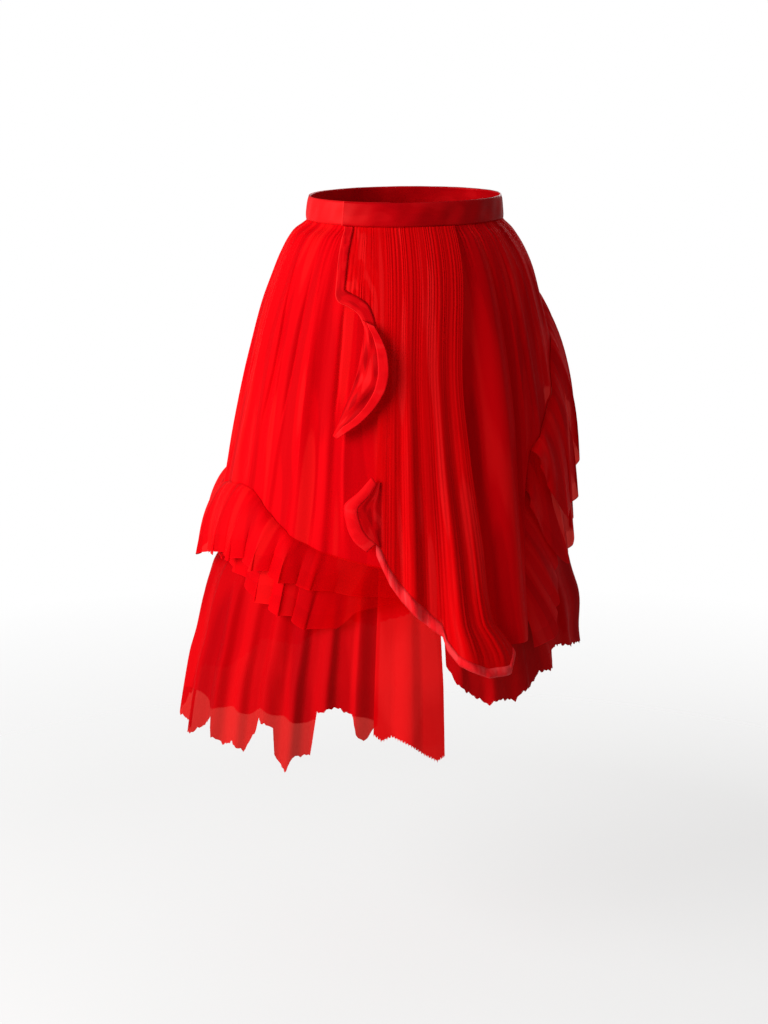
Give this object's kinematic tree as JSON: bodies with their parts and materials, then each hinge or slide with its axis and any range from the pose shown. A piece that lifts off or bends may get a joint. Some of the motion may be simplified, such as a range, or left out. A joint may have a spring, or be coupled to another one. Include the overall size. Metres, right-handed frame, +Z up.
{
  "type": "wrap skirt",
  "caption": "Asymmetric wrap skirt of thin silk with a satin waistband, pleated front, ruffled slanting tiers and a longer ragged underskirt.",
  "frame": {"origin": "middle of the waist opening, at half the waistband's height", "axes": "+Z up along the skirt's hanging axis, out of the waist; -Y towards the front; +X towards the wearer's left"},
  "size_m": [0.5532, 0.495, 0.7191],
  "materials": {
    "silk_organza": "sheer plain-weave silk organza, soft sheen",
    "pleated_organza": "fine heat-set sunray pleats in silk organza",
    "satin_band": "silk satin strip, folded double, smooth sheen",
    "sheer_underskirt": "soft silk chiffon with a raw, ragged hem"
  },
  "bodies": {
    "root": {"waistband": "satin_band", "wrap_front_panel": "pleated_organza", "wrap_hem_band": "satin_band", "top_edge_band": "satin_band", "upper_cascade_fold": "silk_organza", "upper_cascade_binding": "satin_band", "lower_cascade_fold": "silk_organza", "lower_cascade_binding": "satin_band", "left_front_panel": "silk_organza", "left_tier_upper": "silk_organza", "left_tier_lower": "silk_organza", "right_front_panel": "silk_organza", "right_ruffle_upper": "silk_organza", "right_ruffle_lower": "silk_organza", "right_ruffle_end": "silk_organza", "back_left_panel": "silk_organza", "back_right_panel": "silk_organza", "back_ruffle_left": "silk_organza", "back_ruffle_right": "silk_organza", "underskirt_left": "sheer_underskirt", "underskirt_apron": "sheer_underskirt", "underskirt_right": "sheer_underskirt", "underskirt_back_left": "sheer_underskirt", "underskirt_back_right": "sheer_underskirt"}
  },
  "joints": []
}
